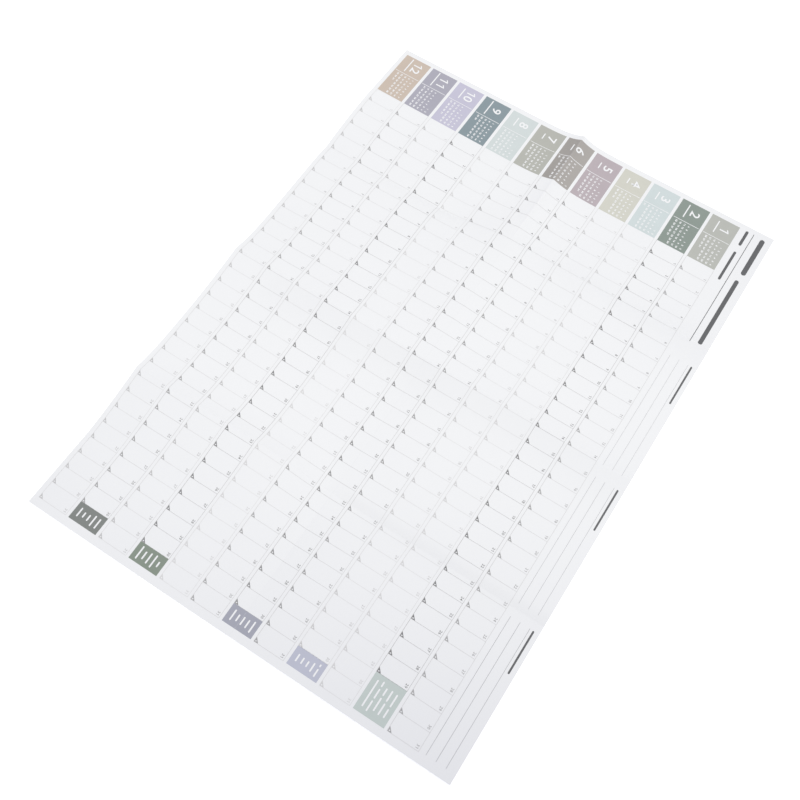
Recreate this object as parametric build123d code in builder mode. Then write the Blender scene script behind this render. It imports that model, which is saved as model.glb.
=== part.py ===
"""Large paper year planner, one sheet that was folded to eight panels and opened out again.

The sheet lies face up on a table. X runs along the day columns, Y towards the title edge and Z up.
The origin is on the table below the middle of the sheet, where the middle upright fold crosses
the level fold. All lengths are in millimetres.

Three upright folds and one level fold divide the sheet into two rows of four panels. Each fold
either stands up as a ridge or touches the table as a valley, and the paper between them bows.
The underside is described by a height above the table, the printed face lies one paper
thickness above it, and each strip of paper between two upright folds is a loft through
sections of that height.
"""

from build123d import *
import os

os.makedirs("parts", exist_ok=True)

# The sheet opened out
sheet_length = 740.0
sheet_width = 524.0
paper_thickness = 0.2

# A ridge or valley has died out at the reach from its crease
fold_reach = 90.0

# Heights of the three upright folds, left to right, at the title edge, at the level fold and
# at the foot. Zero is a valley that touches the table.
crests_at_title = [13.0, 11.5, 0.0]
crests_at_crossing = [14.0, 11.0, 0.0]
crests_at_foot = [0.0, 12.5, 13.0]

# Sharpness of the three upright folds, the power that their sides fall away by: where they cross
# the level fold, and towards the title edge and the foot on their left and right sides
crossing_sharpness = 2.7
title_left_sharpness = [3.3, 3.3, 4.3]
title_right_sharpness = [3.2, 2.9, 3.6]
foot_left_sharpness = [2.4, 3.2, 3.7]
foot_right_sharpness = [5.9, 1.7, 1.5]

# Height of the level fold in the middle of each panel, left to right, and where it meets the
# sheet's two short edges. It is pinched narrow at the left edge.
level_fold_crests = [10.0, 11.0, 1.5, 0.5]
left_end_crest = 10.0
right_end_crest = 5.0
level_sharpness = 2.7
pinch_sharpness = 6.0

# Height of the middle of each panel, left to right, at the title edge, beside the level fold on
# either side of it, and at the foot
bows_at_title = [0.0, 0.0, 3.5, 8.5]
bows_above_fold = [0.0, 6.5, 4.0, 7.0]
bows_below_fold = [0.0, 12.0, 0.0, 8.0]
bows_at_foot = [6.0, 2.5, 5.5, 1.0]

# The same four heights where the end panels meet the sheet's short edges. The left edge lies on
# the table and the right edge stands a little above it.
left_edge_heights = [0.0, 0.0, 0.0, 0.0]
right_edge_heights = [7.0, 6.0, 2.0, 4.5]

# Stations of a section, as shares of the distance from a fold to where its ridge has died out
reach_stations = [0.0, 0.16, 0.38, 0.66, 1.0]

# Worked out from the values above
panel_count = len(level_fold_crests)
last_panel = panel_count - 1
panel_length = sheet_length / panel_count
half_length = sheet_length / 2
half_width = sheet_width / 2
fold_places = [panel_length * number - half_length for number in range(1, panel_count)]
left_strip_end = fold_places[0] - fold_reach
right_strip_start = fold_places[-1] + fold_reach


def mix(first, second, share):
    """Go from the first value to the second by a share of the way."""
    return first + (second - first) * share


def ridge_share(distance, sharpness):
    """Share of a ridge that is left at a distance from its crease: one at the crease, then none."""
    return max(0.0, 1.0 - distance / fold_reach) ** sharpness


def ease(share):
    """Smooth change from none to all, level at both ends."""
    share = min(max(share, 0.0), 1.0)
    return share * share * (3.0 - 2.0 * share)


def upright_crest(fold, y):
    """Height of an upright fold at a place along it."""
    end_crests = crests_at_title if y > 0 else crests_at_foot
    return mix(crests_at_crossing[fold], end_crests[fold], ease(abs(y) / fold_reach))


def upright_sharpness(fold, x, y):
    """Sharpness of an upright fold's side at a place beside it."""
    if x < fold_places[fold]:
        end_sharpness = title_left_sharpness if y > 0 else foot_left_sharpness
    else:
        end_sharpness = title_right_sharpness if y > 0 else foot_right_sharpness
    return mix(crossing_sharpness, end_sharpness[fold], ease(abs(y) / fold_reach))


def height_between(four_heights, y):
    """Height on the straight line from beside the level fold to the title edge or the foot."""
    title, above_fold, below_fold, foot = four_heights
    inner, outer = (above_fold, title) if y > 0 else (below_fold, foot)
    return mix(inner, outer, abs(y) / half_width)


def panel_bow(panel, x, y):
    """Height of a panel away from its folds: an end panel changes towards the sheet's edge."""
    bows = (bows_at_title, bows_above_fold, bows_below_fold, bows_at_foot)
    middle = height_between([bow[panel] for bow in bows], y)
    if panel == 0 and x < left_strip_end:
        share = (x + half_length) / (left_strip_end + half_length)
        return mix(height_between(left_edge_heights, y), middle, share)
    if panel == last_panel and x > right_strip_start:
        share = (half_length - x) / (half_length - right_strip_start)
        return mix(height_between(right_edge_heights, y), middle, share)
    return middle


def level_crest(panel, x):
    """Height of the level fold in a panel: the end panels change towards the sheet's edges."""
    if panel == 0:
        return mix(left_end_crest, level_fold_crests[panel], (x + half_length) / panel_length)
    if panel == last_panel:
        return mix(right_end_crest, level_fold_crests[panel], (half_length - x) / panel_length)
    return level_fold_crests[panel]


def underside_height(panel, x, y):
    """Height of the sheet's underside above the table."""
    sharpness = mix(pinch_sharpness, level_sharpness, min((x + half_length) / panel_length, 1.0))
    height = mix(panel_bow(panel, x, y), level_crest(panel, x), ridge_share(abs(y), sharpness))
    for fold in (panel - 1, panel):
        if 0 <= fold < len(fold_places):
            share = ridge_share(abs(x - fold_places[fold]), upright_sharpness(fold, x, y))
            height = mix(height, upright_crest(fold, y), share)
    return height


def half_section(panel, x, side, lift):
    """Points from the level fold out to where its ridge has died out, then to the sheet's edge."""
    places = [side * fold_reach * share for share in reach_stations] + [side * half_width]
    return [(y, underside_height(panel, x, y) + lift) for y in places]


def paper_strips():
    """List the strips from left to right, each with its panel and the places of its sections."""
    # the left panel is straight along its length as far as the first fold's ridge
    yield 0, [-half_length, left_strip_end]
    yield 0, [fold_places[0] - fold_reach * share for share in reversed(reach_stations)]
    # a middle panel has one section at its middle, where it leaves one fold for the next
    for panel in range(1, last_panel):
        leaving = [fold_places[panel - 1] + panel_length / 2 * share for share in reach_stations]
        arriving = [fold_places[panel] - panel_length / 2 * share for share in reversed(reach_stations[:-1])]
        yield panel, leaving + arriving
    # the right panel is straight along its length from the last ridge to the edge
    yield last_panel, [fold_places[-1] + fold_reach * share for share in reach_stations]
    yield last_panel, [right_strip_start, half_length]


with BuildPart() as sheet:
    for panel, stations in paper_strips():
        for x in stations:
            with BuildSketch(Plane.YZ.offset(x)):
                with BuildLine():
                    for side in (1, -1):
                        underside = half_section(panel, x, side, 0.0)
                        printed_face = half_section(panel, x, side, paper_thickness)
                        for points in (underside, printed_face):
                            Spline(*points[:-1])
                            Line(*points[-2:])
                        Line(underside[-1], printed_face[-1])
                make_face()
        # a strip with two sections is straight along its length, and its flat parts stay planes
        loft(ruled=len(stations) == 2)

sheet.part.label = "sheet"
export_step(sheet.part, "parts/sheet.step")
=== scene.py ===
"""Looks of a large paper year planner: the folded sheet, its print, a pale floor and soft light.

The sheet lies face up. X runs along the day columns, Y towards the title edge and Z up, in metres,
with the origin on the floor below the middle of the sheet. Places on the print are given in
millimetres from the sheet's top left corner as one reads it, X to the right and Y down, and are
turned into the frame's metres when the meshes are made.
"""

import logging
from collections.abc import Iterator
from contextlib import contextmanager
from dataclasses import dataclass, field
from enum import Enum

import bmesh
import bpy
import numpy as np
from mathutils import Matrix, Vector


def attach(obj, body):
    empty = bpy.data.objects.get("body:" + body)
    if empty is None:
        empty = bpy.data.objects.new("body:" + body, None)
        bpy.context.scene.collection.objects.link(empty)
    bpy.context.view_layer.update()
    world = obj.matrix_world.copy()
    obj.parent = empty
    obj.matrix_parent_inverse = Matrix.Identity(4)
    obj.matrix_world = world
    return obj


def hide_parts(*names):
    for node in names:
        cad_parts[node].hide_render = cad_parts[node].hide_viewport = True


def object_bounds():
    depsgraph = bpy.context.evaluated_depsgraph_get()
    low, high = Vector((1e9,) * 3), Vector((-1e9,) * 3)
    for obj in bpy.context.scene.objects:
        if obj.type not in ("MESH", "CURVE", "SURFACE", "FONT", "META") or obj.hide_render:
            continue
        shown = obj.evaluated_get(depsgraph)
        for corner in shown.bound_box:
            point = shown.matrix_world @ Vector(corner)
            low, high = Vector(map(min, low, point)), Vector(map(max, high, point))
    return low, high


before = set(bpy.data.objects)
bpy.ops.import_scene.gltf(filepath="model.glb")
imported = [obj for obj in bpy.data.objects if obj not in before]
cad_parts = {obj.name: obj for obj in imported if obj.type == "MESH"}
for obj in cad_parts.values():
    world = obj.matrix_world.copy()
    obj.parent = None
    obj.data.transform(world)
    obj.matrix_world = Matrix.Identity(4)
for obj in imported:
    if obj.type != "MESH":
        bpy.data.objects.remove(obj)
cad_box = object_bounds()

logging.basicConfig(level=logging.INFO, format="%(name)s: %(message)s")
log = logging.getLogger("year_planner")

MILLIMETRE = 0.001
SHEET_LENGTH = round((cad_box[1][0] - cad_box[0][0]) / MILLIMETRE, 2)
SHEET_WIDTH = round((cad_box[1][1] - cad_box[0][1]) / MILLIMETRE, 2)
PAPER_THICKNESS = 0.2
HALF_LENGTH = SHEET_LENGTH / 2
HALF_WIDTH = SHEET_WIDTH / 2
PANELS = 4
LAST_PANEL = PANELS - 1
PANEL_LENGTH = SHEET_LENGTH / PANELS
UPRIGHT_FOLDS = (-PANEL_LENGTH, 0.0, PANEL_LENGTH)
WEEK = 7

Colour = tuple[float, float, float]
Screen = tuple[int, int, int]
Spot = tuple[float, float]
Place = tuple[float, float, float]
Row = tuple[float, ...]
Array = np.ndarray
Shape = tuple[Array, Array]
Socket = bpy.types.NodeSocket


def ease(share: Array) -> Array:
    """Smooth change from none to all, three times the square less twice the cube."""
    share = np.clip(share, 0.0, 1.0)
    return share * share * (3.0 - 2.0 * share)


def mix(first: Array, second: Array, share: Array) -> Array:
    """Go from the first value to the second by a share of the way."""
    return first + (second - first) * share


@dataclass(frozen=True)
class FoldRelief:
    """Height of the paper above the floor, in millimetres, the same as the solid's own relief.

    A fold is a ridge or a valley whose share falls from one at the crease to none at its reach.
    Rows of four values go from the left panel to the right one, and rows of three from the left
    upright fold to the right one.
    """

    fold_reach: float = 90.0
    crests_at_title: Row = (13.0, 11.5, 0.0)
    crests_at_crossing: Row = (14.0, 11.0, 0.0)
    crests_at_foot: Row = (0.0, 12.5, 13.0)
    crossing_sharpness: float = 2.7
    title_left_sharpness: Row = (3.3, 3.3, 4.3)
    title_right_sharpness: Row = (3.2, 2.9, 3.6)
    foot_left_sharpness: Row = (2.4, 3.2, 3.7)
    foot_right_sharpness: Row = (5.9, 1.7, 1.5)
    level_fold_crests: Row = (10.0, 11.0, 1.5, 0.5)
    left_end_crest: float = 10.0
    right_end_crest: float = 5.0
    level_sharpness: float = 2.7
    pinch_sharpness: float = 6.0
    bows_at_title: Row = (0.0, 0.0, 3.5, 8.5)
    bows_above_fold: Row = (0.0, 6.5, 4.0, 7.0)
    bows_below_fold: Row = (0.0, 12.0, 0.0, 8.0)
    bows_at_foot: Row = (6.0, 2.5, 5.5, 1.0)
    left_edge_heights: Row = (0.0, 0.0, 0.0, 0.0)
    right_edge_heights: Row = (7.0, 6.0, 2.0, 4.5)

    def between(self, title: float, above: float, below: float, foot: float, y: Array) -> Array:
        """Height on the straight line from beside the level fold to the title edge or the foot.

        Args:
            title, above, below, foot: The four heights, from the title edge down.
            y: Distances from the level fold, up to the title edge.

        Returns:
            The heights at those distances.
        """
        share = np.abs(y) / HALF_WIDTH
        return np.where(y > 0, mix(above, title, share), mix(below, foot, share))

    def bow(self, panel: Array, x: Array, y: Array) -> Array:
        """Height of a panel away from its folds; an end panel changes towards the sheet's edge.

        Args:
            panel: Number of the panel of each place, from 0 at the left.
            x, y: The places.

        Returns:
            The heights there without any fold.
        """
        rows = (self.bows_at_title, self.bows_above_fold, self.bows_below_fold, self.bows_at_foot)
        middle = self.between(*(np.array(row)[panel] for row in rows), y)
        run = PANEL_LENGTH - self.fold_reach
        left = self.between(*self.left_edge_heights, y)
        right = self.between(*self.right_edge_heights, y)
        share = np.clip((x + HALF_LENGTH) / run, 0, 1)
        middle = np.where(panel == 0, mix(left, middle, share), middle)
        share = np.clip((HALF_LENGTH - x) / run, 0, 1)
        return np.where(panel == LAST_PANEL, mix(right, middle, share), middle)

    def underside(self, x: Array, y: Array) -> Array:
        """Height of the sheet's underside.

        The level fold's ridge comes first: one less the distance over the reach, to the power of
        its sharpness, is the share of the way from the bow to its crest. Each upright fold beside
        the panel is then added in the same way.

        Args:
            x, y: Places in millimetres from the middle of the sheet.

        Returns:
            The heights there.
        """
        panel = np.clip(np.floor((x + HALF_LENGTH) / PANEL_LENGTH), 0, LAST_PANEL).astype(int)
        from_left = (x + HALF_LENGTH) / PANEL_LENGTH
        from_right = (HALF_LENGTH - x) / PANEL_LENGTH
        crest = np.array(self.level_fold_crests)[panel]
        crest = np.where(panel == 0, mix(self.left_end_crest, crest, from_left), crest)
        crest = np.where(panel == LAST_PANEL, mix(self.right_end_crest, crest, from_right), crest)
        sharpness = mix(self.pinch_sharpness, self.level_sharpness, np.minimum(from_left, 1.0))
        left_over = np.clip(1.0 - np.abs(y) / self.fold_reach, 0.0, 1.0)
        height = mix(self.bow(panel, x, y), crest, left_over**sharpness)
        away = ease(np.abs(y) / self.fold_reach)
        for number, place in enumerate(UPRIGHT_FOLDS):
            ends = np.where(y > 0, self.crests_at_title[number], self.crests_at_foot[number])
            crest = mix(self.crests_at_crossing[number], ends, away)
            left = np.where(y > 0, self.title_left_sharpness[number], self.foot_left_sharpness[number])
            right = np.where(y > 0, self.title_right_sharpness[number], self.foot_right_sharpness[number])
            sharpness = mix(self.crossing_sharpness, np.where(x < place, left, right), away)
            share = np.clip(1.0 - np.abs(x - place) / self.fold_reach, 0.0, 1.0) ** sharpness
            height = mix(height, crest, share)
        return np.maximum(height, 0.0)

    def printed_face(self, x: Array, y: Array) -> Array:
        """Height of the printed face, one paper thickness above the underside."""
        return self.underside(x, y) + PAPER_THICKNESS


@dataclass(frozen=True)
class GridLines:
    """Lines of the sheet's grid, close together beside each fold and wider apart away from it.

    Between a fold and the middle of a panel the distance grows as a share to a power.
    """

    upright_steps: int = 24
    level_steps: int = 58
    power: float = 1.45
    end_turn: float = HALF_LENGTH - PANEL_LENGTH + FoldRelief.fold_reach

    def across(self) -> Array:
        """Work out the places of the lines along X.

        Returns:
            The places, with one on each fold and where the end panels change.
        """
        grown = np.linspace(0, 1, self.upright_steps + 1) ** self.power * PANEL_LENGTH / 2
        folds = np.array([-HALF_LENGTH, *UPRIGHT_FOLDS, HALF_LENGTH])
        lines = np.concatenate([(folds[:-1, None] + grown).ravel(), (folds[1:, None] - grown).ravel()])
        return np.unique(np.round(np.append(lines, [-self.end_turn, self.end_turn]), 4))

    def along(self) -> Array:
        """Places of the lines along Y, with one on the level fold."""
        grown = np.linspace(0, 1, self.level_steps + 1) ** self.power * HALF_WIDTH
        return np.unique(np.round(np.concatenate([grown, -grown]), 4))


def grid_quads(across: int, along: int) -> Array:
    """Corners of the quads of a grid whose points are numbered row by row.

    Args:
        across: Points in a row.
        along: Rows, which go up.

    Returns:
        One row of four point numbers a quad, turning left as seen from above.
    """
    first = (np.arange(along - 1)[:, None] * across + np.arange(across - 1)).ravel()
    return np.stack([first, first + 1, first + across + 1, first + across], axis=1)


def make_piece(name: str, points: Array, faces: Array, smooth: bool | Array) -> bpy.types.Object:
    """Make a mesh object from whole arrays.

    Args:
        name: Name of the piece.
        points: One row of X, Y and Z in metres a point.
        faces: One row of point numbers a face, all with the same number of corners.
        smooth: Whether the faces are shaded as one curved surface, one answer for all or one each.

    Returns:
        The object, at the origin and in the scene.
    """
    mesh = bpy.data.meshes.new(name)
    mesh.vertices.add(len(points))
    mesh.vertices.foreach_set("co", points.astype(np.float32).ravel())
    mesh.loops.add(faces.size)
    mesh.loops.foreach_set("vertex_index", faces.astype(np.int32).ravel())
    mesh.polygons.add(len(faces))
    mesh.polygons.foreach_set("loop_start", np.arange(len(faces), dtype=np.int32) * faces.shape[1])
    mesh.polygons.foreach_set("use_smooth", np.full(len(faces), smooth))
    mesh.update(calc_edges=True)
    mesh.validate()
    piece = bpy.data.objects.new(name, mesh)
    bpy.context.scene.collection.objects.link(piece)
    return piece


@contextmanager
def opened(mesh: bpy.types.Mesh) -> Iterator[bmesh.types.BMesh]:
    """Open a mesh for edits, and put them into it afterwards.

    Args:
        mesh: The mesh.

    Yields:
        Its copy, which takes the edits.
    """
    work = bmesh.new()
    work.from_mesh(mesh)
    yield work
    work.to_mesh(mesh)
    work.free()


def points_of(mesh: bpy.types.Mesh) -> Array:
    """Read a mesh's points as a whole array.

    Args:
        mesh: The mesh.

    Returns:
        One row of X, Y and Z a point.
    """
    places = np.empty(len(mesh.vertices) * 3, np.float32)
    mesh.vertices.foreach_get("co", places)
    return places.reshape(-1, 3)


class NodeKit:
    """Adds nodes to a material or a group, with their values and links."""

    mix_inputs = (0, 6, 7)
    mix_output = 2

    def __init__(self, tree: bpy.types.NodeTree) -> None:
        """Keep the tree that the nodes go into."""
        self.tree = tree

    def feed(self, node: bpy.types.Node, values: dict) -> None:
        """Set or link a node's inputs.

        Args:
            node: The node.
            values: Input name or number to a value, or to the output socket that feeds it.
        """
        for key, value in values.items():
            if isinstance(value, Socket):
                self.tree.links.new(value, node.inputs[key])
            else:
                node.inputs[key].default_value = value

    def add(self, kind: str, values: dict | None = None, **settings: object) -> bpy.types.Node:
        """Add a node.

        Args:
            kind: Blender's name of the node type.
            values: What its inputs are given, as for feed.
            settings: Attributes of the node.

        Returns:
            The node.
        """
        node = self.tree.nodes.new(kind)
        for key, setting in settings.items():
            setattr(node, key, setting)
        self.feed(node, values or {})
        return node

    def math(self, operation: str, first: object, second: object = 0.0) -> Socket:
        """Add a sum, product or other operation on two values and return its result."""
        return self.add("ShaderNodeMath", {0: first, 1: second}, operation=operation).outputs[0]

    def product(self, first: object, second: object) -> Socket:
        """Add a product of two values and return it."""
        return self.math("MULTIPLY", first, second)

    def blend(self, share: object, first: object, second: object, kind: str = "MIX") -> Socket:
        """Add a mix of two colours.

        Args:
            share: How far to go from the first colour to the second.
            first, second: The colours.
            kind: Blender's name of the way they are mixed.

        Returns:
            The mixed colour.
        """
        values = dict(zip(self.mix_inputs, (share, first, second)))
        node = self.add("ShaderNodeMix", values, data_type="RGBA", blend_type=kind)
        return node.outputs[self.mix_output]

    def noise(self, position: object, scale: object, detail: float, roughness: float = 0.5) -> Socket:
        """Add a noise from 0 to 1 at a position and return its value."""
        values = {"Vector": position, "Scale": scale, "Detail": detail, "Roughness": roughness}
        return self.add("ShaderNodeTexNoise", values).outputs[0]

    def ramp(self, value: object, low: object, high: object, to_low: float, to_high: float) -> Socket:
        """Add a smooth change of a value from one range to another and return it."""
        values = {0: value, 1: low, 2: high, 3: to_low, 4: to_high}
        return self.add("ShaderNodeMapRange", values, interpolation_type="SMOOTHSTEP").outputs[0]


class MaterialKit(NodeKit):
    """Adds nodes to a new material, whose one shader they feed."""

    def __init__(self, name: str) -> None:
        """Make the material, and read the places on the piece, which its patterns follow.

        Args:
            name: Name of the material.
        """
        self.material = bpy.data.materials.new(name)
        self.material.use_nodes = True
        super().__init__(self.material.node_tree)
        self.shader = self.tree.nodes["Principled BSDF"]
        self.position = self.add("ShaderNodeTexCoord").outputs["Object"]

    def bump(self, strength: float, distance: float, height: Socket, **normal: Socket) -> Socket:
        """Add a relief that bends the light alone, on top of another normal, and return its own."""
        values = {"Strength": strength, "Distance": distance, "Height": height}
        return self.add("ShaderNodeBump", {**values, **normal}).outputs[0]


def rgba(colour: Colour) -> tuple[float, float, float, float]:
    """Add a full alpha to a colour."""
    return (*colour, 1.0)


class SharedGroup:
    """Base of the effects that more than one finish uses, each a node group made once.

    Its inputs are a position and the numbers that it lists with the values they start from.
    """

    title: str = ""
    inputs: dict[str, float] = {}
    outputs: tuple[str, ...] = ()

    def __init__(self) -> None:
        """Make the group with its named sockets and fill it."""
        self.tree = bpy.data.node_groups.new(self.title, "ShaderNodeTree")
        new_socket = self.tree.interface.new_socket
        new_socket("Position", in_out="INPUT", socket_type="NodeSocketVector")
        for name, start in self.inputs.items():
            new_socket(name, in_out="INPUT", socket_type="NodeSocketFloat").default_value = start
        for name in self.outputs:
            new_socket(name, in_out="OUTPUT", socket_type="NodeSocketFloat")
        kit = NodeKit(self.tree)
        source = self.tree.nodes.new("NodeGroupInput").outputs
        sink = self.tree.nodes.new("NodeGroupOutput").inputs
        for name, socket in self.fill(kit, source).items():
            self.tree.links.new(socket, sink[name])

    def fill(self, kit: NodeKit, source: bpy.types.NodeOutputs) -> dict[str, Socket]:
        """Add the group's nodes and return the socket that feeds each output."""
        raise NotImplementedError

    def place(self, kit: NodeKit, values: dict) -> bpy.types.NodeOutputs:
        """Put the group into a material with its own values and return its outputs."""
        return kit.add("ShaderNodeGroup", values, node_tree=self.tree).outputs


class PaperGrain(SharedGroup):
    """Fine fibre grain of uncoated paper, and slow changes of its tone."""

    title = "paper_grain"
    inputs = {"Fibre scale": 1400.0, "Cloud scale": 9.0}
    outputs = ("Tone", "Height")
    fibre_share = 0.25

    def fill(self, kit: NodeKit, source: bpy.types.NodeOutputs) -> dict[str, Socket]:
        """Work out the fibres, a fine noise, and the tone, a slow noise with a few fibres in it.

        Args:
            kit: Adds the group's nodes.
            source: The group's inputs.

        Returns:
            The tone and the height by name.
        """
        fibres = kit.noise(source["Position"], source["Fibre scale"], detail=4.0, roughness=0.65)
        clouds = kit.noise(source["Position"], source["Cloud scale"], detail=3.0)
        shares = (kit.product(clouds, 1.0 - self.fibre_share), kit.product(fibres, self.fibre_share))
        return {"Tone": kit.math("ADD", *shares), "Height": fibres}


class CreaseWear(SharedGroup):
    """Masks of the worn lines along the four folds, and of painted shade on the sides of three of them.

    A painted shade side is a product of fades. Each is an axis, where it has no effect and where it is
    full, in millimetres. The sunken right fold's left side ends just past the fold, and fades out
    where that fold turns to a ridge. The middle fold's right side fades out at the foot. The level
    fold's lower side is shaded at the left end, up to block seven.
    """

    title = "crease_wear_and_shade"
    inputs = {"Half width": 0.0006, "Break scale": 260.0}
    outputs = ("Mask", "Side", "Below")
    break_range = (0.38, 0.62)
    least_worn = 0.15
    sunken_side = (("X", 169.0, 183.0), ("X", 188.5, 185.0), ("Y", -10.0, 30.0))
    middle_side = (("X", 0.0, 4.0), ("X", 60.0, 15.0), ("Y", -240.0, -190.0))
    middle_share = 0.55
    lower_side = (("Y", 1.0, -2.5), ("Y", -20.0, -14.0), ("X", -280.0, -290.0))

    def fill(self, kit: NodeKit, source: bpy.types.NodeOutputs) -> dict[str, Socket]:
        """Work out the masks.

        The worn line's mask is one on a fold's line and none a half width away, times a stepped
        noise. The first two painted shade sides share a mask, which is the larger of the two.

        Args:
            kit: Adds the group's nodes.
            source: The group's inputs.

        Returns:
            The masks by name.
        """
        parts = kit.add("ShaderNodeSeparateXYZ", {0: source["Position"]}).outputs
        nearest = kit.math("ABSOLUTE", parts["Y"])
        for fold in UPRIGHT_FOLDS:
            away = kit.math("ABSOLUTE", kit.math("SUBTRACT", parts["X"], fold * MILLIMETRE))
            nearest = kit.math("MINIMUM", nearest, away)
        line = kit.ramp(nearest, 0.0, source["Half width"], 1.0, 0.0)
        broken = kit.noise(source["Position"], source["Break scale"], detail=3.0, roughness=0.6)
        worn = kit.ramp(broken, *self.break_range, self.least_worn, 1.0)
        # Painted shade on one side of the middle fold and of the sunken right fold.
        middle = kit.product(self.side(kit, parts, self.middle_side), self.middle_share)
        side = kit.math("MAXIMUM", self.side(kit, parts, self.sunken_side), middle)
        # Painted shade on the ink below the level fold's left end.
        below = self.side(kit, parts, self.lower_side)
        return {"Mask": kit.product(line, worn), "Side": side, "Below": below}

    @staticmethod
    def side(kit: NodeKit, parts: bpy.types.NodeOutputs, fades: tuple) -> Socket:
        """Add the product of a side's fades.

        Args:
            kit: Adds the group's nodes.
            parts: The place's three parts by the name of their axis.
            fades: Each an axis, where the side has no effect and where it is full, in millimetres.

        Returns:
            The side's mask.
        """
        mask = 1.0
        for axis, none, full in fades:
            fade = kit.ramp(parts[axis], none * MILLIMETRE, full * MILLIMETRE, 0.0, 1.0)
            mask = kit.product(mask, fade)
        return mask


class InkMottle(SharedGroup):
    """Uneven density of a printed field: soft clouds and a fine speckle of bare paper."""

    title = "ink_mottle"
    inputs = {"Amount": 0.06, "Speckle": 0.1}
    outputs = ("Tone", "Bare")
    cloud_scale = 55.0
    speck_scale = 2600.0
    speck_range = (0.6, 0.75)

    def fill(self, kit: NodeKit, source: bpy.types.NodeOutputs) -> dict[str, Socket]:
        """Work out the tone, one plus a share of a cloud noise, and the bare specks.

        Args:
            kit: Adds the group's nodes.
            source: The group's inputs.

        Returns:
            The tone, and how much bare paper shows where a fine noise is high, by name.
        """
        clouds = kit.noise(source["Position"], self.cloud_scale, detail=4.0, roughness=0.6)
        swing = kit.product(kit.math("SUBTRACT", clouds, 0.5), source["Amount"])
        fine = kit.noise(source["Position"], self.speck_scale, detail=2.0)
        specks = kit.ramp(fine, *self.speck_range, 0.0, 1.0)
        return {"Tone": kit.math("ADD", swing, 1.0), "Bare": kit.product(specks, source["Speckle"])}


@dataclass(frozen=True)
class PaperFinish:
    """Matt white planner paper, a little cool, with grain, soft dents, worn folds and painted shade beside
    three folds.
    """

    name: str = "planner_paper"
    colour: Colour = (0.80, 0.81, 0.83)
    clouded: Colour = (0.775, 0.785, 0.81)
    creased: Colour = (0.70, 0.71, 0.735)
    worn_share: float = 0.3
    side_share: float = 0.28
    tone_range: Row = (0.2, 0.8)
    roughness_range: Row = (0.57, 0.7)
    dent_scale: float = 16.0
    dent_depth: float = 0.004
    dent_strength: float = 0.28
    grain_depth: float = 0.00006
    grain_strength: float = 0.25
    shine: float = 0.3

    def material(self, effects: "Effects") -> bpy.types.Material:
        """Make the paper's material.

        Args:
            effects: The shared node groups.

        Returns:
            The material.
        """
        kit = MaterialKit(self.name)
        grain = effects.grain.place(kit, {"Position": kit.position})
        wear = effects.wear.place(kit, {"Position": kit.position})
        base = kit.blend(grain["Tone"], rgba(self.clouded), rgba(self.colour))
        # The worn fold lines are wear; the next mix is painted shade on one side of three folds.
        base = kit.blend(kit.product(wear["Mask"], self.worn_share), base, rgba(self.creased))
        base = kit.blend(kit.product(wear["Side"], self.side_share), base, rgba(self.creased))
        rough = kit.ramp(grain["Tone"], *self.tone_range, *self.roughness_range)
        dents = kit.noise(kit.position, self.dent_scale, detail=3.0, roughness=0.45)
        soft = kit.bump(self.dent_strength, self.dent_depth, dents)
        fine = kit.bump(self.grain_strength, self.grain_depth, grain["Height"], Normal=soft)
        values = {"Base Color": base, "Roughness": rough, "Normal": fine}
        kit.feed(kit.shader, {**values, "Specular IOR Level": self.shine})
        return kit.material


@dataclass(frozen=True)
class InkFinish:
    """One flat printing ink on the paper, with painted shade below the level fold's left end."""

    name: str
    colour: Colour
    mottle: float = 0.09
    speckle: float = 0.12
    dulled: float = 0.12
    worn_half_width: float = 0.0005
    worn_share: float = 0.2
    tone_range: Row = (0.95, 1.05)
    roughness_range: Row = (0.55, 0.65)
    grain_strength: float = 0.2
    paper: PaperFinish = PaperFinish()

    def material(self, effects: "Effects") -> bpy.types.Material:
        """Make the ink's material.

        Args:
            effects: The shared node groups.

        Returns:
            The material.
        """
        kit = MaterialKit(self.name)
        grain = effects.grain.place(kit, {"Position": kit.position})
        wear = effects.wear.place(kit, {"Position": kit.position, "Half width": self.worn_half_width})
        values = {"Position": kit.position, "Amount": self.mottle, "Speckle": self.speckle}
        mottle = effects.mottle.place(kit, values)
        tone = kit.add("ShaderNodeCombineColor", dict.fromkeys(range(3), mottle["Tone"]))
        base = kit.blend(1.0, rgba(self.colour), tone.outputs[0], kind="MULTIPLY")
        bare = kit.math("MAXIMUM", mottle["Bare"], kit.product(wear["Mask"], self.worn_share))
        base = kit.blend(bare, base, rgba(self.paper.colour))
        # Painted shade: the ink turns darker below the level fold's left end.
        base = kit.blend(kit.product(wear["Below"], self.dulled), base, rgba((0.0, 0.0, 0.0)))
        rough = kit.ramp(mottle["Tone"], *self.tone_range, *self.roughness_range)
        fine = kit.bump(self.grain_strength, self.paper.grain_depth, grain["Height"])
        values = {"Base Color": base, "Roughness": rough, "Normal": fine}
        kit.feed(kit.shader, {**values, "Specular IOR Level": self.paper.shine})
        return kit.material


@dataclass(frozen=True)
class Effects:
    """The shared node groups."""

    grain: PaperGrain
    wear: CreaseWear
    mottle: InkMottle


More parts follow.
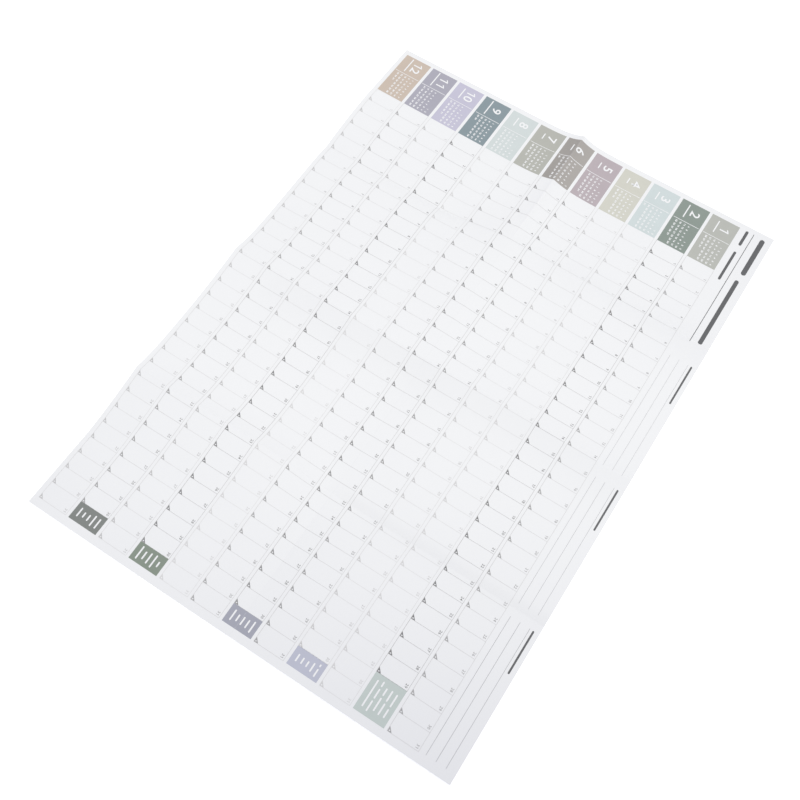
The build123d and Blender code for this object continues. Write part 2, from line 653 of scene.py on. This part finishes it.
@dataclass
class PlannerPaper:
    """The bare sheet: a closed grid that follows the relief, with four thin edges."""

    relief: FoldRelief
    lines: GridLines
    finish: PaperFinish

    def build(self, effects: Effects) -> None:
        """Make the sheet, which stands for the solid.

        The printed face is the height of the relief on a grid. The underside is the same grid one
        paper thickness lower, turned over, and a strip of quads closes each edge.

        Args:
            effects: The shared node groups.
        """
        across, along = self.lines.across(), self.lines.along()
        x, y = np.meshgrid(across, along)
        low = self.relief.underside(x, y)
        faces = grid_quads(len(across), len(along))
        count = x.size
        top = np.stack([x, y, low + PAPER_THICKNESS], axis=-1).reshape(-1, 3)
        under = np.stack([x, y, low], axis=-1).reshape(-1, 3)
        numbers = np.arange(count).reshape(len(along), len(across))
        rim = np.concatenate([numbers[0], numbers[1:, -1], numbers[-1, -2::-1], numbers[-2:0:-1, 0]])
        after = np.roll(rim, -1)
        sides = np.stack([rim + count, after + count, after, rim], axis=1)
        quads = np.concatenate([faces, faces[:, ::-1] + count, sides])
        smooth = np.arange(len(quads)) < 2 * len(faces)
        piece = make_piece("paper_sheet", np.concatenate([top, under]) * MILLIMETRE, quads, smooth)
        self.sharpen_rim(piece, len(faces))
        piece.data.materials.append(self.finish.material(effects))
        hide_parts("sheet")
        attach(piece, "root")
        log.info("%s: %d faces", piece.name, len(quads))

    @staticmethod
    def sharpen_rim(piece: bpy.types.Object, face_count: int) -> None:
        """Mark the edges between the two faces and the thin sides as sharp.

        Args:
            piece: The sheet, whose faces at the sides come last.
            face_count: How many faces the printed face has.
        """
        with opened(piece.data) as mesh:
            mesh.faces.ensure_lookup_table()
            for face in mesh.faces[2 * face_count:]:
                for edge in face.edges:
                    edge.smooth = False


@dataclass
class PrintLayer:
    """All shapes of one printed colour, gathered flat and then laid on the relief.

    Shapes are kept as triangles in millimetres from the middle of the sheet, Y up.
    """

    name: str
    finish: InkFinish
    lift: float
    relief: FoldRelief
    lines: GridLines
    points: list[Array] = field(default_factory=list)
    faces: list[Array] = field(default_factory=list)
    total: int = 0
    end_points: int = 6
    least_half: float = 0.001
    cut_reach: float = 1e-7

    def add_shape(self, points: Array, faces: Array, places: Array) -> None:
        """Add one small shape at many places.

        Args:
            points: The shape's points, Y up, from its own origin.
            faces: Rows of three point numbers.
            places: Where its origin goes, from the sheet's top left corner, Y down.
        """
        places = np.atleast_2d(places)
        spots = np.stack([places[:, 0] - HALF_LENGTH, HALF_WIDTH - places[:, 1]], axis=1)
        moved = points[None] + spots[:, None]
        starts = self.total + np.arange(len(spots)) * len(points)
        self.points.append(moved.reshape(-1, 2))
        self.faces.append((faces[None] + starts[:, None, None]).reshape(-1, 3))
        self.total += len(points) * len(spots)

    def add_strip(self, stations: Array, low: Array, high: Array, rows: Array) -> None:
        """Add a surface between a lower and an upper line, cut at stations and at rows.

        Args:
            stations: Places along X.
            low, high: Ends along Y at each station.
            rows: Places along Y where the sheet's grid crosses it, or none.
        """
        levels = np.concatenate([[-np.inf], rows, [np.inf]])
        y = np.clip(levels[:, None], low, high)
        x = np.broadcast_to(stations, y.shape)
        quads = grid_quads(len(stations), len(levels))
        triangles = np.concatenate([quads[:, [0, 1, 2]], quads[:, [0, 2, 3]]])
        self.points.append(np.stack([x, y], axis=-1).reshape(-1, 2))
        self.faces.append(triangles + self.total)
        self.total += x.size

    def add_rectangle(self, left: float, top: float, right: float, bottom: float) -> None:
        """Add a rectangle, cut at the sheet's grid.

        Args:
            left, top, right, bottom: Its sides, from the sheet's top left corner, Y down.
        """
        x0, x1 = left - HALF_LENGTH, right - HALF_LENGTH
        y0, y1 = HALF_WIDTH - bottom, HALF_WIDTH - top
        across, along = self.lines.across(), self.lines.along()
        stations = np.concatenate([[x0], across[(across > x0) & (across < x1)], [x1]])
        rows = along[(along > y0) & (along < y1)]
        ends = np.ones(len(stations))
        self.add_strip(stations, ends * y0, ends * y1, rows)

    def add_bar(self, left: float, middle: float, right: float, height: float) -> None:
        """Add a bar with round ends.

        Its half height at a distance from an end is that of a circle: the root of the radius
        squared less the square of what is left to the circle's centre.

        Args:
            left, right: Its ends, from the sheet's left edge.
            middle: The middle of its height, from the sheet's top edge down.
            height: Its height.
        """
        radius = height / 2
        across = self.lines.across() + HALF_LENGTH
        turn = radius * (1 - np.cos(np.linspace(0, np.pi / 2, self.end_points)))
        inner = across[(across > left + radius) & (across < right - radius)]
        stations = np.concatenate([left + turn, inner, right - turn[::-1]])
        room = np.minimum(np.minimum(stations - left, right - stations), radius)
        half = np.sqrt(np.maximum(radius**2 - (radius - room) ** 2, self.least_half**2))
        centre = HALF_WIDTH - middle
        self.add_strip(stations - HALF_LENGTH, centre - half, centre + half, np.array([centre]))

    def build(self, effects: Effects) -> None:
        """Cut the shapes along the folds, lay them on the relief and dress them.

        Args:
            effects: The shared node groups.
        """
        flat = np.concatenate(self.points) * MILLIMETRE
        points = np.column_stack([flat, np.zeros(len(flat))])
        piece = make_piece(self.name, points, np.concatenate(self.faces), True)
        cuts = [((fold * MILLIMETRE, 0, 0), (1, 0, 0)) for fold in UPRIGHT_FOLDS] + [((0, 0, 0), (0, 1, 0))]
        with opened(piece.data) as mesh:
            for place, direction in cuts:
                everything = [*mesh.verts, *mesh.edges, *mesh.faces]
                side = {"plane_co": place, "plane_no": direction}
                bmesh.ops.bisect_plane(mesh, geom=everything, dist=self.cut_reach, **side)
            bmesh.ops.triangulate(mesh, faces=mesh.faces[:])
        places = points_of(piece.data)
        x, y = places[:, 0] / MILLIMETRE, places[:, 1] / MILLIMETRE
        places[:, 2] = (self.relief.printed_face(x, y) + self.lift) * MILLIMETRE
        piece.data.vertices.foreach_set("co", places.ravel())
        piece.data.update()
        piece.data.materials.append(self.finish.material(effects))
        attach(piece, "root")
        log.info("%s: %d faces", piece.name, len(piece.data.polygons))


class Align(Enum):
    """Which part of a number stands at its place."""

    CENTRE = 0.5
    RIGHT = 1.0


class Numerals:
    """Shapes of the plain numbers: the one is drawn here, the others are Blender's built-in font.

    The one's places are shares of its height.
    """

    thin_stroke = 0.13
    stem_left = 0.30
    flag_left = 0.04
    flag_top = 0.80
    flag_foot_slope = 0.95
    flag_rise = 0.16
    notch = 0.36
    merge_reach = 1e-5

    def __init__(self, weight: float, resolution: int, width: float = 1.0, step: float = 0.75) -> None:
        """Take the shapes of the ten digits.

        Args:
            weight: How much the strokes are thickened, as a share of the font's size.
            resolution: Points on each curved part of a stroke.
            width: How many times the font's width all digits but the one are drawn.
            step: Distance from digit to digit before that widening, as a share of their height.
        """
        taken = [self.take(str(number), weight, resolution) for number in range(10)]
        self.digits = [(points * [width, 1.0], faces) for points, faces in taken]
        self.digits[1] = self.draw_one(self.thin_stroke + 2 * weight)
        self.step = step * width

    def draw_one(self, stroke: float) -> Shape:
        """Draw the one as an upright stem with a slanting flag at its top left.

        Args:
            stroke: Width of the stem, as a share of the digit's height.

        Returns:
            The points, one unit tall from its foot, and the triangles.
        """
        left, right, tip = self.stem_left, self.stem_left + stroke, self.flag_left
        foot = self.flag_top - self.flag_foot_slope * stroke
        stem = [[left, 0], [right, 0], [right, 1], [self.notch, 1]]
        flag = [[tip, self.flag_top], [tip, foot], [left, foot + self.flag_rise]]
        faces = [[0, 1, 2], [0, 2, 6], [6, 2, 3], [6, 3, 4], [6, 4, 5]]
        return np.array(stem + flag) - [tip, 0.0], np.array(faces)

    def take(self, character: str, weight: float, resolution: int) -> Shape:
        """Take one digit's shape from the built-in font.

        Args:
            character: The digit.
            weight: How much its strokes are thickened, as a share of the font's size.
            resolution: Points on each curved part of a stroke.

        Returns:
            The points, one unit tall from its foot, and the triangles.
        """
        text = bpy.data.curves.new("digit", "FONT")
        text.body = character
        text.resolution_u = resolution
        text.offset = weight
        holder = bpy.data.objects.new("digit", text)
        bpy.context.scene.collection.objects.link(holder)
        bpy.context.view_layer.update()
        shape = bpy.data.meshes.new_from_object(holder.evaluated_get(bpy.context.evaluated_depsgraph_get()))
        with opened(shape) as mesh:
            bmesh.ops.remove_doubles(mesh, verts=mesh.verts[:], dist=self.merge_reach)
            bmesh.ops.triangulate(mesh, faces=mesh.faces[:])
        points = points_of(shape)[:, :2].astype(float)
        faces = np.empty(len(shape.polygons) * 3, np.int32)
        shape.polygons.foreach_get("vertices", faces)
        faces = faces.reshape(-1, 3)
        bpy.data.objects.remove(holder)
        bpy.data.curves.remove(text)
        bpy.data.meshes.remove(shape)
        points -= points.min(axis=0)
        points /= np.ptp(points[:, 1])
        sides = points[faces]
        turn = np.cross(sides[:, 1] - sides[:, 0], sides[:, 2] - sides[:, 0])
        faces[turn < 0] = faces[turn < 0][:, ::-1]
        return points, faces

    def add(self, layer: PrintLayer, number: int, place: Spot, height: float, align: Align) -> None:
        """Add a number to a layer.

        Args:
            layer: The layer that it is printed in.
            number: The number.
            place: Where its foot stands, from the sheet's top left corner, Y down.
            height: Height of the digits.
            align: Which part of the number stands at the place.
        """
        figures = [self.digits[int(character)] for character in str(number)]
        widths = np.array([np.ptp(points[:, 0]) for points, _ in figures])
        starts = np.arange(len(figures)) * self.step + (self.step - widths) / 2
        extent = starts[-1] + widths[-1] - starts[0]
        shift = -starts[0] - extent * align.value
        for (points, faces), start in zip(figures, starts):
            moved = (points + [start + shift, 0.0]) * height
            layer.add_shape(moved, faces, np.array([place]))


def linear(screen: Screen) -> Colour:
    """Turn a screen colour into the shader's linear colour.

    Args:
        screen: Its three parts, 0 to 255.

    Returns:
        Each part as the usual curve gives it: a twelfth or so near black, else a power of 2.4.
    """
    parts = np.array(screen) / 255.0
    curve = np.where(parts <= 0.04045, parts / 12.92, ((parts + 0.055) / 1.055) ** 2.4)
    return tuple(float(part) for part in curve)


def grey(level: int) -> Colour:
    """Turn a grey level of the screen, 0 to 255, into a slightly cool linear colour."""
    return linear((level, level, level + 2))


@dataclass(frozen=True)
class PrintPlan:
    """Places of the print that all months share, from the sheet's top left corner, and line widths."""

    first_row_top: float = 42.0
    row_pitch: float = 40.0
    row_height: float = 36.2
    block_left: float = 7.2
    block_right: float = 78.0
    first_line: float = 98.5
    day_pitch: float = 21.06
    upright_line: float = 0.39
    bottom_line: float = 0.5
    top_line: float = 0.4
    columns: int = 31
    block_gap: float = 0.3
    end_overhang: float = 0.2

    def line(self, day: int | Array) -> float | Array:
        """Place of the upright line at the right of a day's cell, with the days counted from one."""
        return self.first_line + self.day_pitch * (day - 1)


@dataclass(frozen=True)
class EndField:
    """Coloured field at the end of a row: its screen colour and the widths of each line's words."""

    colour: Screen
    words: tuple[Row, ...]


@dataclass(frozen=True)
class MonthRow:
    """One month, with a screen colour for its block and grey levels for its marks and lines.

    The first weekday is the column of the month's first day in the small calendar, from 0.
    """

    month: int
    days: int
    first_weekday: int
    block: Screen
    mark: int
    line: int
    name_width: float
    end_field: EndField | None = None

    def top(self, plan: PrintPlan) -> float:
        """Top of the row, from the sheet's top edge down."""
        return plan.first_row_top + plan.row_pitch * (self.month - 1)

    def has_six_weeks(self) -> bool:
        """Whether the small calendar runs over more than five weeks of seven days."""
        return self.days + self.first_weekday > 5 * WEEK


@dataclass
class Printer:
    """Keeps the printed layers by name, with what they all share."""

    relief: FoldRelief
    lines: GridLines
    plan: PrintPlan
    layers: dict[str, PrintLayer] = field(default_factory=dict)

    def layer(self, name: str, colour: Colour, lift: float, **finish: float) -> PrintLayer:
        """Find the layer of that name, or start it.

        Args:
            name: Name of the layer.
            colour: Its ink's colour.
            lift: How far it lies above the paper, in millimetres.
            finish: Other values of its ink.

        Returns:
            The layer.
        """
        if name not in self.layers:
            ink = InkFinish("ink_" + name, colour, **finish)
            self.layers[name] = PrintLayer("print_" + name, ink, lift, self.relief, self.lines)
        return self.layers[name]


@dataclass
class MonthPrinter:
    """Prints the month rows.

    Places are measured from a row's top, and in a block also from its left side. The two lifts are
    how far the inks lie above the paper: the white ones lie over the others.
    """

    printer: Printer
    large: Numerals
    small: Numerals
    bold: Numerals
    white: Colour = PaperFinish.colour
    ink_lift: float = 0.06
    white_lift: float = 0.11
    number_height: float = 11.7
    number_foot: float = 19.65
    number_middle: float = 14.2
    rule_place: float = 29.5
    rule_width: float = 0.7
    rule_inset: float = 1.2
    name_middle: float = 24.9
    small_first: float = 33.5
    small_pitch: float = 5.55
    small_top: float = 7.0
    six_week_rise: float = 2.5
    small_height: float = 2.3
    name_height: float = 1.5
    day_height: float = 3.1
    day_side_gap: float = 2.0
    day_top_gap: float = 1.7
    mark_width: float = 5.4
    mark_height: float = 4.8
    window_margin: float = 0.8
    window_width: float = 1.2
    window_height: float = 1.5
    first_word: float = 5.9
    word_pitch: float = 5.95
    word_gap: float = 2.2
    word_height: float = 1.75

    def print_row(self, row: MonthRow) -> None:
        """Print one month into the layers.

        Args:
            row: The month.
        """
        self.print_block(row)
        self.print_cells(row)
        if row.end_field:
            self.print_end_field(row, row.end_field)

    def print_block(self, row: MonthRow) -> None:
        """Print the coloured block with its number, its word bar, its rule and small calendar.

        Args:
            row: The month.
        """
        plan, top = self.printer.plan, row.top(self.printer.plan)
        field_layer = self.printer.layer(f"block_{row.month}", linear(row.block), self.ink_lift)
        field_layer.add_rectangle(plan.block_left, top, plan.block_right, top + plan.row_height)
        # The white ink gets none of the painted shade below the level fold.
        clean = {"mottle": 0.02, "speckle": 0.0, "dulled": 0.0}
        white = self.printer.layer("white", self.white, self.white_lift, **clean)
        left = plan.block_left
        middle = left + self.number_middle
        place = (middle, top + self.number_foot)
        self.large.add(white, row.month, place, self.number_height, Align.CENTRE)
        rule, half_rule = left + self.rule_place, self.rule_width / 2
        rule_top, rule_bottom = top + self.rule_inset, top + plan.row_height - self.rule_inset
        white.add_rectangle(rule - half_rule, rule_top, rule + half_rule, rule_bottom)
        half_name = row.name_width / 2
        white.add_bar(middle - half_name, top + self.name_middle, middle + half_name, self.name_height)
        first_week = top + self.small_top + self.small_height / 2
        if row.has_six_weeks():
            first_week -= self.six_week_rise
        for day in range(row.days):
            week, weekday = divmod(day + row.first_weekday, WEEK)
            x = left + self.small_first + self.small_pitch * weekday
            y = first_week + self.small_pitch * week
            self.bold.add(white, day + 1, (x, y), self.small_height, Align.CENTRE)

    def print_cells(self, row: MonthRow) -> None:
        """Print the thin lines, the numbers and the corner marks of the day cells.

        Args:
            row: The month.
        """
        plan, top = self.printer.plan, row.top(self.printer.plan)
        bottom = top + plan.row_height
        lines = self.printer.layer(f"lines_{row.month}", grey(row.line), self.ink_lift, speckle=0.0)
        layer = self.printer.layer(f"days_{row.month}", grey(row.mark), self.ink_lift, speckle=0.05)
        half, upper, lower = plan.upright_line / 2, plan.top_line / 2, plan.bottom_line / 2
        days = np.arange(1, row.days + 1)
        start, end = plan.block_right + plan.block_gap, plan.line(row.days)
        lines.add_rectangle(start, top - upper, end + half, top + upper)
        lines.add_rectangle(start, bottom - lower, end + half, bottom + lower)
        for day in days:
            line = plan.line(day)
            lines.add_rectangle(line - half, top + upper, line + half, bottom - lower)
            place = (line - self.day_side_gap, top + self.day_top_gap + self.day_height)
            self.small.add(layer, day, place, self.day_height, Align.RIGHT)
        corners = np.column_stack([plan.line(days) - half, np.full(row.days, bottom - lower)])
        layer.add_shape(*self.corner_mark(), corners)

    def corner_mark(self) -> Shape:
        """Shape the mark at a cell's corner: a right triangle with a bare window by its right angle.

        The window's sides are a margin from the triangle's two legs, and triangles join its four
        corners to the triangle's three.

        Returns:
            The points and the faces.
        """
        near = self.window_margin
        far, high = near + self.window_width, near + self.window_height
        outer = [[0.0, 0.0], [0.0, self.mark_height], [-self.mark_width, 0.0]]
        window = [[-near, near], [-near, high], [-far, high], [-far, near]]
        faces = [[0, 1, 4], [0, 4, 3], [1, 5, 4], [1, 2, 5], [2, 6, 5], [2, 0, 6], [0, 3, 6]]
        return np.array(outer + window), np.array(faces)

    def print_end_field(self, row: MonthRow, end: EndField) -> None:
        """Print the coloured field after the last day, with a bar for each word on it.

        Args:
            row: The month.
            end: The field.
        """
        plan, top = self.printer.plan, row.top(self.printer.plan)
        left, right = plan.line(row.days), plan.line(plan.columns)
        layer = self.printer.layer(f"end_{row.month}", linear(end.colour), self.ink_lift)
        layer.add_rectangle(left, top, right + plan.end_overhang, top + plan.row_height)
        white = self.printer.layer("white", self.white, self.white_lift)
        for number, widths in enumerate(end.words):
            start = (left + right - sum(widths) - self.word_gap * (len(widths) - 1)) / 2
            middle = top + self.first_word + self.word_pitch * number
            for width in widths:
                white.add_bar(start, middle, start + width, self.word_height)
                start += width + self.word_gap


@dataclass
class HeadPrinter:
    """Prints the title, the line below it and the three ruled areas for notes, all as bars.

    A bar's four values are its left end, the middle of its height, its right end and its height. A
    rule's are its left, top, right and bottom.
    """

    printer: Printer
    charcoal: Colour = (0.115, 0.118, 0.125)
    rule_grey: Colour = (0.42, 0.43, 0.45)
    lift: float = 0.06
    title_bars: tuple[Row, ...] = ((8.2, 11.0, 66.0, 6.0), (75.8, 12.6, 184.0, 5.1))
    title_rule: Row = (7.0, 23.25, 186.4, 24.0)
    lower_bars: tuple[Row, ...] = ((7.0, 32.0, 30.5, 3.6), (41.0, 32.0, 86.6, 3.2))
    note_heading: Row = (0.2, 6.8, 52.6, 2.1)
    note_starts: Row = (209.8, 387.2, 566.6)
    note_length: float = 162.5
    note_lines: Row = (11.3, 22.8, 34.2)
    note_line_widths: Row = (0.28, 0.33, 0.46)

    def print_head(self) -> None:
        """Print the whole head of the sheet."""
        title = self.printer.layer("title", self.charcoal, self.lift, speckle=0.04)
        for bar in self.title_bars + self.lower_bars:
            title.add_bar(*bar)
        title.add_rectangle(*self.title_rule)
        rules = self.printer.layer("note_rules", self.rule_grey, self.lift)
        left, middle, right, height = self.note_heading
        for start, width in zip(self.note_starts, self.note_line_widths):
            title.add_bar(start + left, middle, start + right, height)
            end, half = start + self.note_length, width / 2
            for place in self.note_lines:
                rules.add_rectangle(start, place - half, end, place + half)


def month_rows() -> list[MonthRow]:
    """List the twelve months.

    Returns:
        The months in order, each with its colours and, where days are missing, its end field.
    """
    teal_words = ((14.0, 10.0), (12.0, 13.0), (8.5, 15.0), (6.0, 11.0, 12.0), (30.0,))
    teal = EndField((188, 198, 196), teal_words)
    lavender = EndField((182, 185, 201), ((3.0, 9.0), (10.0,), (6.5,), (7.0,), (8.5,)))
    slate = EndField((159, 161, 174), ((13.0,), (9.5,), (9.5,), (8.0,), (12.5,)))
    green = EndField((130, 141, 130), ((6.5,), (15.0,), (12.5,), (9.5,), (15.5,)))
    dark = EndField((125, 129, 127), ((12.0,), (13.0,), (7.5,), (6.5,), (11.0,)))
    return [
        MonthRow(1, 31, 1, (176, 178, 173), 162, 205, 18.6),
        MonthRow(2, 29, 4, (134, 145, 139), 126, 186, 20.7, teal),
        MonthRow(3, 31, 5, (198, 208, 210), 204, 213, 13.0),
        MonthRow(4, 30, 1, (200, 200, 191), 197, 214, 9.0, lavender),
        MonthRow(5, 31, 3, (177, 167, 173), 156, 205, 10.0),
        MonthRow(6, 30, 6, (164, 160, 157), 142, 199, 10.8, slate),
        MonthRow(7, 31, 1, (173, 174, 168), 166, 207, 9.5),
        MonthRow(8, 31, 4, (200, 208, 209), 207, 217, 14.5),
        MonthRow(9, 30, 0, (131, 145, 152), 131, 190, 24.5, green),
        MonthRow(10, 31, 2, (188, 186, 205), 186, 213, 18.5),
        MonthRow(11, 30, 5, (164, 163, 176), 160, 203, 24.9, dark),
        MonthRow(12, 31, 0, (194, 180, 168), 190, 214, 24.0),
    ]


@dataclass(frozen=True)
class Studio:
    """Pale floor, soft light and the camera where the photograph was taken."""

    floor_colour: Colour = (0.93, 0.935, 0.94)
    floor_size: float = 12.0
    floor_points: int = 3
    floor_drop: float = 0.00008
    floor_roughness: float = 0.9
    floor_shine: float = 0.1
    floor_clouded: Colour = (0.9207, 0.92565, 0.9306)
    floor_cloud_scale: float = 4.0
    floor_glow: float = 0.35
    sky_colour: Colour = (0.930, 0.927, 1.0)
    sky_strength: float = 0.801
    lamp_place: Place = (-0.235, 0.064, 1.2)
    lamp_target: Place = (-0.151, -0.096, 0.0)
    lamp_colour: Colour = (1.0, 0.992, 0.823)
    lamp_size: float = 1.287
    lamp_power: float = 2.07
    lamp_spread: float = 0.774
    camera_place: Place = (0.493165, 0.257785, 1.12611)
    camera_target: Place = (0.0537, 0.00112, 0.0)
    camera_roll: float = 2.806
    lens: float = 50.0
    sensor_width: float = 36.0

    def floor(self) -> None:
        """Lay a plain pale floor just below the sheet's underside."""
        across = np.linspace(-self.floor_size / 2, self.floor_size / 2, self.floor_points)
        x, y = np.meshgrid(across, across)
        points = np.stack([x, y, np.full(x.shape, -self.floor_drop)], axis=-1).reshape(-1, 3)
        piece = make_piece("floor", points, grid_quads(self.floor_points, self.floor_points), False)
        kit = MaterialKit("pale_floor")
        tone = kit.noise(kit.position, self.floor_cloud_scale, detail=2.0)
        base = kit.blend(tone, rgba(self.floor_colour), rgba(self.floor_clouded))
        values = {"Base Color": base, "Roughness": self.floor_roughness}
        glow = {"Emission Color": rgba(self.floor_colour), "Emission Strength": self.floor_glow}
        kit.feed(kit.shader, {**values, **glow, "Specular IOR Level": self.floor_shine})
        piece.data.materials.append(kit.material)

    def light(self) -> None:
        """Set an even pale sky and one large soft lamp, which leaves the far right corner dimmer."""
        world = bpy.data.worlds.new("studio")
        world.use_nodes = True
        background = world.node_tree.nodes["Background"]
        background.inputs["Color"].default_value = rgba(self.sky_colour)
        background.inputs["Strength"].default_value = self.sky_strength
        bpy.context.scene.world = world
        lamp = bpy.data.lights.new("soft_lamp", "AREA")
        lamp.shape = "SQUARE"
        lamp.size = self.lamp_size
        lamp.spread = self.lamp_spread
        lamp.energy = self.lamp_power
        lamp.color = self.lamp_colour
        holder = bpy.data.objects.new("soft_lamp", lamp)
        holder.matrix_world = self.aim(self.lamp_place, self.lamp_target)
        bpy.context.scene.collection.objects.link(holder)

    @staticmethod
    def aim(place: Place, target: Place, roll: float = 0.0) -> Matrix:
        """Work out how a lamp or camera stands that points from one place at another.

        Args:
            place: Where it stands.
            target: What it points at.
            roll: Degrees that it is turned about its own line of sight.

        Returns:
            Its right, up and back directions and its place, as one matrix.
        """
        back = np.array(place) - np.array(target)
        back = back / np.linalg.norm(back)
        level = np.cross((0.0, 0.0, 1.0), back)
        level = level / np.linalg.norm(level)
        upright = np.cross(back, level)
        across, along = np.cos(np.radians(roll)), np.sin(np.radians(roll))
        turned = np.eye(4)
        turned[:3, 0] = level * across + upright * along
        turned[:3, 1] = upright * across - level * along
        turned[:3, 2], turned[:3, 3] = back, place
        return Matrix(turned.tolist())

    def camera(self) -> None:
        """Set up the camera at the photograph's viewpoint, and show colours without a film curve."""
        data = bpy.data.cameras.new("photo_camera")
        data.lens = self.lens
        data.sensor_width = self.sensor_width
        holder = bpy.data.objects.new("photo_camera", data)
        holder.matrix_world = self.aim(self.camera_place, self.camera_target, self.camera_roll)
        bpy.context.scene.collection.objects.link(holder)
        bpy.context.scene.camera = holder
        bpy.context.scene.view_settings.view_transform = "Standard"

    def build(self) -> None:
        """Make the floor, the light and the camera."""
        self.floor()
        self.light()
        self.camera()


def main() -> None:
    """Build the paper, its print and the studio in order."""
    effects = Effects(PaperGrain(), CreaseWear(), InkMottle())
    relief, lines = FoldRelief(), GridLines()
    PlannerPaper(relief, lines, PaperFinish()).build(effects)
    printer = Printer(relief, lines, PrintPlan())
    large = Numerals(weight=0.012, resolution=5, width=1.12)
    small = Numerals(weight=0.006, resolution=2)
    bold = Numerals(weight=0.062, resolution=2, width=1.2, step=0.66)
    months = MonthPrinter(printer, large, small, bold)
    for row in month_rows():
        months.print_row(row)
    HeadPrinter(printer).print_head()
    for layer in printer.layers.values():
        layer.build(effects)
    Studio().build()


if __name__ == "__main__":
    main()
